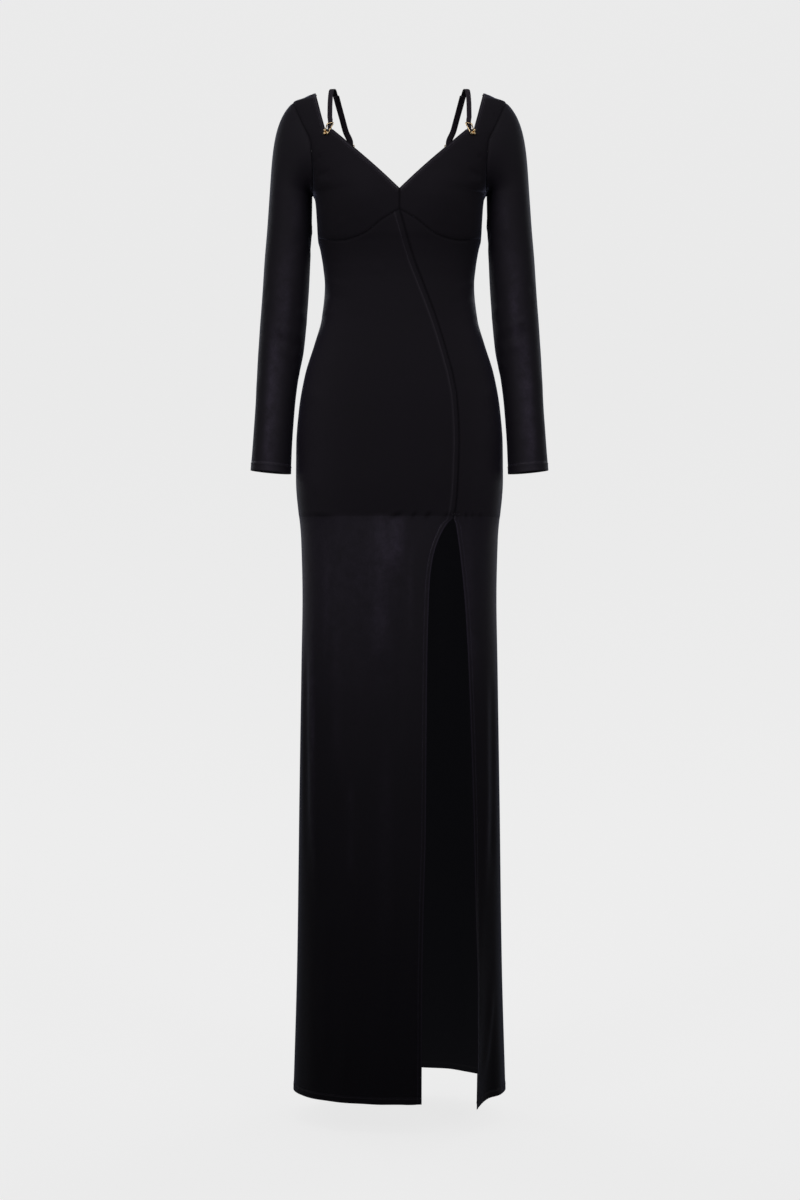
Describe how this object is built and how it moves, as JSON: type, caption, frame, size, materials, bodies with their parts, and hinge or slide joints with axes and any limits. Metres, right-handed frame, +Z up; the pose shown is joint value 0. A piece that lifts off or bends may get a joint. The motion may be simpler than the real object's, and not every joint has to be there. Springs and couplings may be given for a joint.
{
  "type": "maxi dress",
  "caption": "Floor-length jersey dress with long set-in sleeves, V neckline, slanting front seam, high front slit and shoulder straps on small wire rings.",
  "frame": {"origin": "midway between the shoulders, level with the underside of the straps where they cross them, which is where the wearer holds the dress up", "axes": "+Z up, -Y towards the front of the wearer, +X towards the wearer's left"},
  "size_m": [0.4628, 0.2864, 1.5773],
  "materials": {
    "jersey": "matt, slightly sheeny knit",
    "tape": "matt ribbed tape",
    "gold": "polished"
  },
  "bodies": {
    "root": {"front_main": "jersey", "front_side": "jersey", "back": "jersey", "bust_left": "jersey", "bust_right": "jersey", "sleeve_left": "jersey", "sleeve_right": "jersey", "strap_left": "tape", "strap_right": "tape", "ring_front_left": "gold", "ring_front_right": "gold", "ring_back_left": "gold", "ring_back_right": "gold"}
  },
  "joints": []
}
